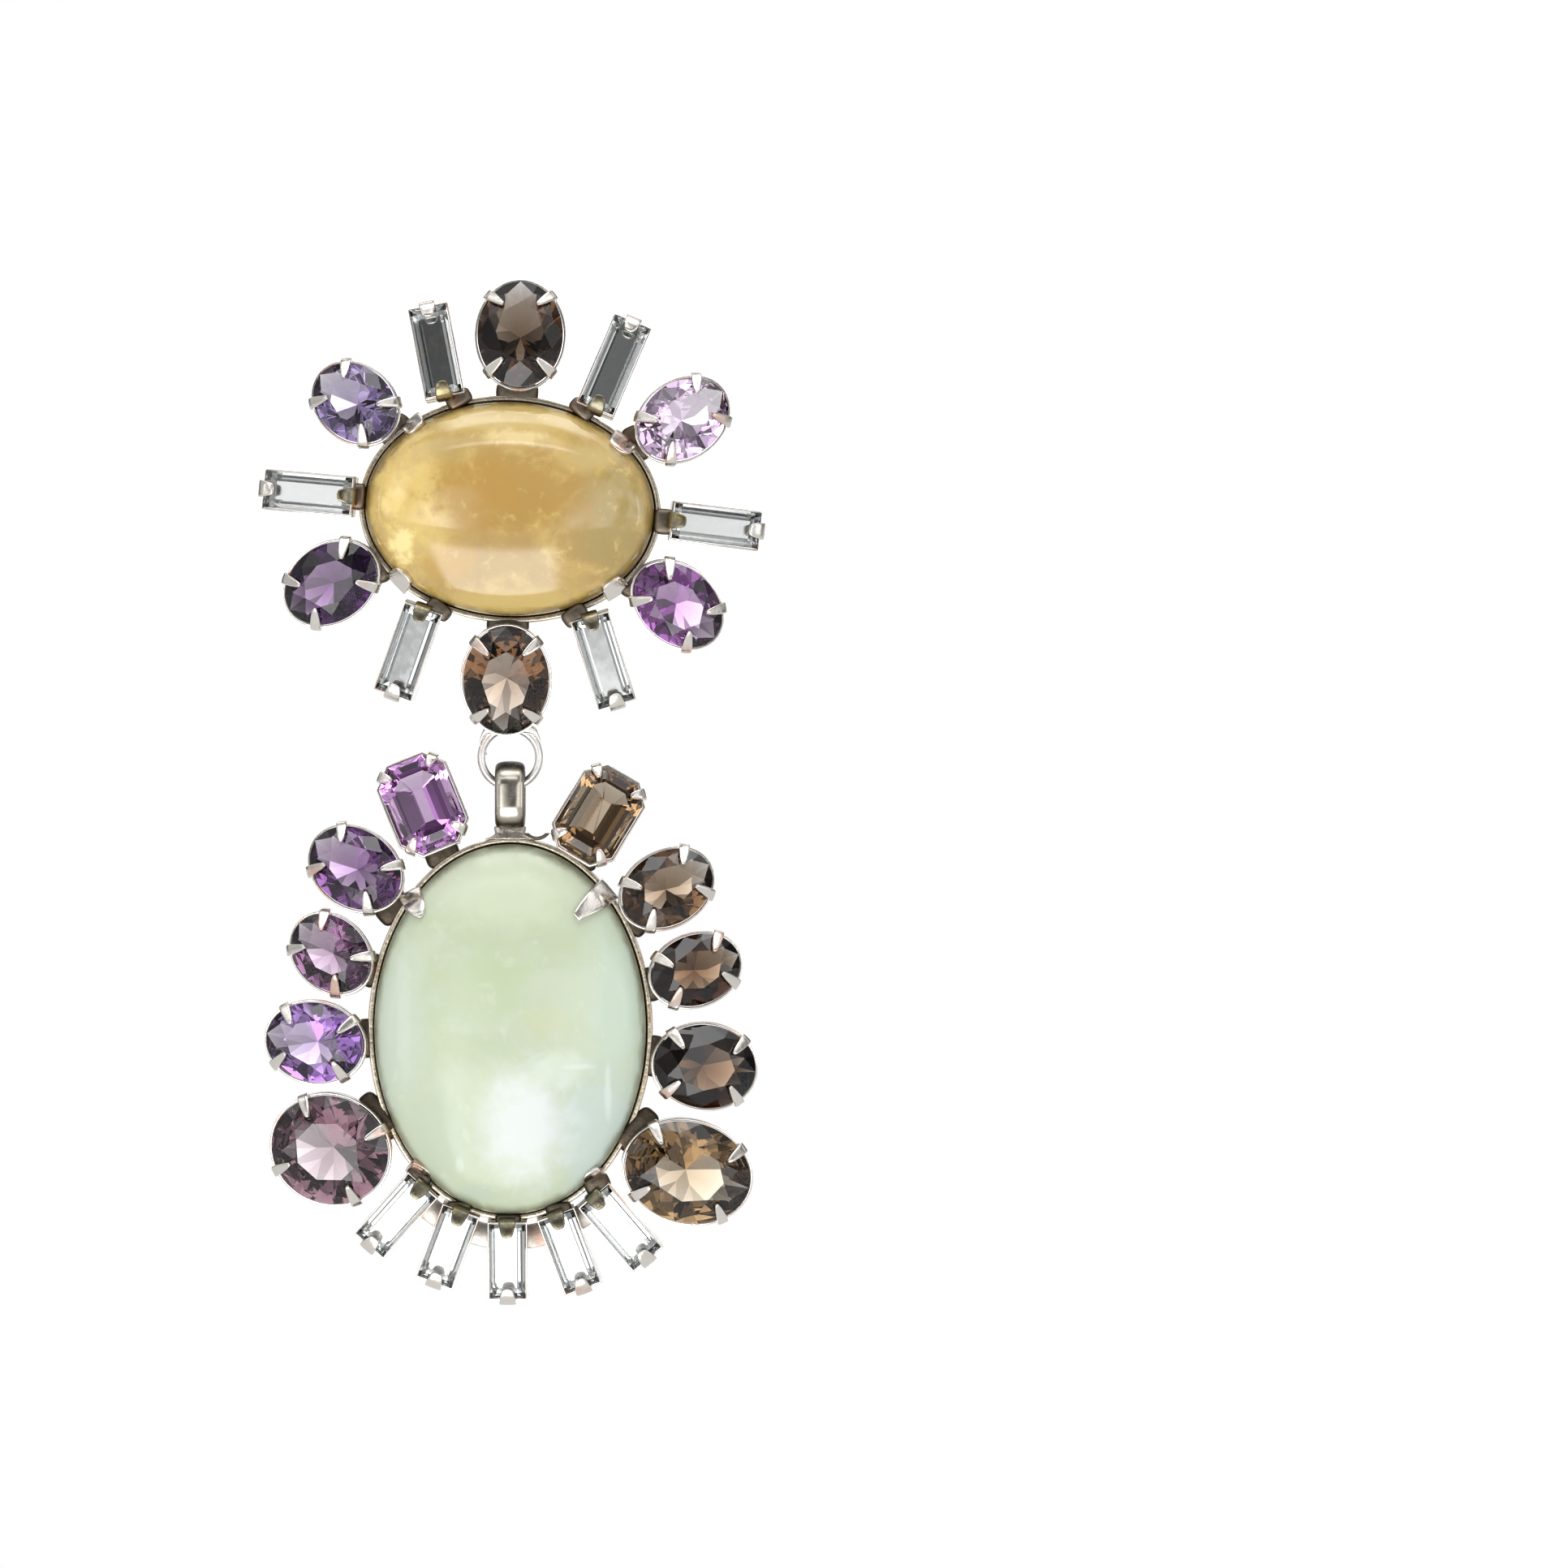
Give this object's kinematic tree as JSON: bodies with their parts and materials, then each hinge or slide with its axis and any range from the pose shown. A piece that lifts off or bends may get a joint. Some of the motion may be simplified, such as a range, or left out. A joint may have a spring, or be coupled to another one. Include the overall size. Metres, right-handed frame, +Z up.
{
  "type": "drop earring",
  "caption": "Post drop earring: a domed oval stone in a rayed frame of faceted stones, with a larger domed drop hung under it on a ring.",
  "frame": {"origin": "root of the ear post's pin, in the middle of its pad's back face, where it meets the ear lobe", "axes": "+Z up as the earring hangs, +Y along the ear post into the ear, -Y out of the stones' front, +X to the right as seen from the front"},
  "size_m": [0.0478, 0.0192, 0.0961],
  "materials": {
    "silver": "antique silver, polished on its edges and darkened in its recesses",
    "amethyst": "faceted violet quartz",
    "smoky": "faceted brown quartz",
    "crystal": "clear step-cut quartz",
    "citrine": "polished cloudy golden quartz",
    "green": "polished milky pale green stone"
  },
  "bodies": {
    "cluster": {"cluster_frame": "silver", "ear_post": "silver", "citrine_cabochon": "citrine", "cluster_smoky_top": "smoky", "cluster_smoky_bottom": "smoky", "cluster_amethyst_1": "amethyst", "cluster_amethyst_2": "amethyst", "cluster_amethyst_3": "amethyst", "cluster_amethyst_4": "amethyst", "cluster_crystal_1": "crystal", "cluster_crystal_2": "crystal", "cluster_crystal_3": "crystal", "cluster_crystal_4": "crystal", "cluster_crystal_5": "crystal", "cluster_crystal_6": "crystal"},
    "drop": {"drop_frame": "silver", "green_cabochon": "green", "drop_amethyst_octagon": "amethyst", "drop_amethyst_1": "amethyst", "drop_amethyst_2": "amethyst", "drop_amethyst_3": "amethyst", "drop_amethyst_4": "amethyst", "drop_smoky_octagon": "smoky", "drop_smoky_1": "smoky", "drop_smoky_2": "smoky", "drop_smoky_3": "smoky", "drop_smoky_4": "smoky", "drop_crystal_1": "crystal", "drop_crystal_2": "crystal", "drop_crystal_3": "crystal", "drop_crystal_4": "crystal", "drop_crystal_5": "crystal"}
  },
  "joints": [
    {"name": "drop_swing", "type": "hinge", "parent": "cluster", "child": "drop", "pos_m": [0, -0.0035, -0.0309], "axis": [1, 0, 0], "range_deg": [-120, 120]}
  ]
}
